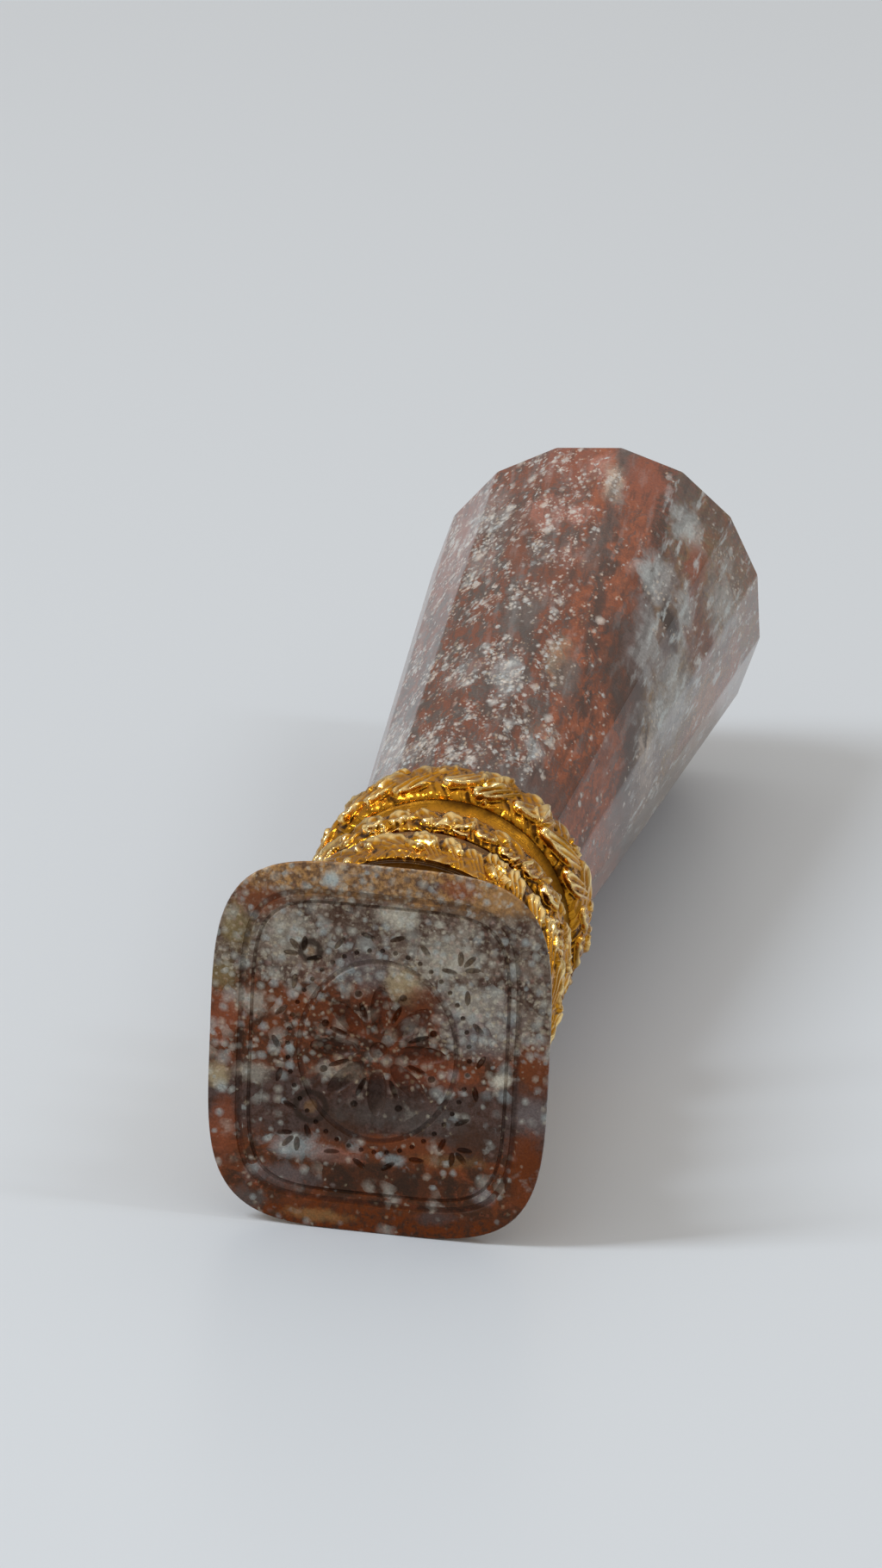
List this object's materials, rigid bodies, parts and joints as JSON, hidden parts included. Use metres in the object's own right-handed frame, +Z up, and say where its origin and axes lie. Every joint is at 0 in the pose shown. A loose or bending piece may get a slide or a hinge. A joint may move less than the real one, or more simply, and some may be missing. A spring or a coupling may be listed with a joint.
{
  "type": "desk seal",
  "caption": "Hand seal for pressing into wax: a tapering faceted stone handle in a chased gilt mount, with an engraved cushion-shaped stone matrix.",
  "frame": {"origin": "on the table, under the centre of the seal lying on its side", "axes": "+Y along the handle from the engraved face to the far end, +Z up, +X to the right when looking at the engraved face"},
  "size_m": [0.0244, 0.093, 0.0245],
  "materials": {
    "matrix_stone": "polished speckled hardstone",
    "handle_stone": "polished streaked hardstone",
    "gilt_plain": "polished gilding",
    "gilt_chased": "chased and burnished gilding with dark recesses",
    "stud_steel": "plain drawn rod",
    "cement": "dark setting cement"
  },
  "bodies": {
    "root": {"matrix_stone": "matrix_stone", "bezel": "gilt_plain", "matrix_cement": "cement", "back_plate": "gilt_plain", "neck": "gilt_plain", "lower_chased_ring": "gilt_chased", "plain_collar": "gilt_plain", "middle_chased_ring": "gilt_chased", "cavetto_band": "gilt_plain", "upper_chased_ring": "gilt_chased", "handle_cup": "gilt_plain", "stud": "stud_steel", "handle_cement": "cement", "handle_stone": "handle_stone"}
  },
  "joints": []
}
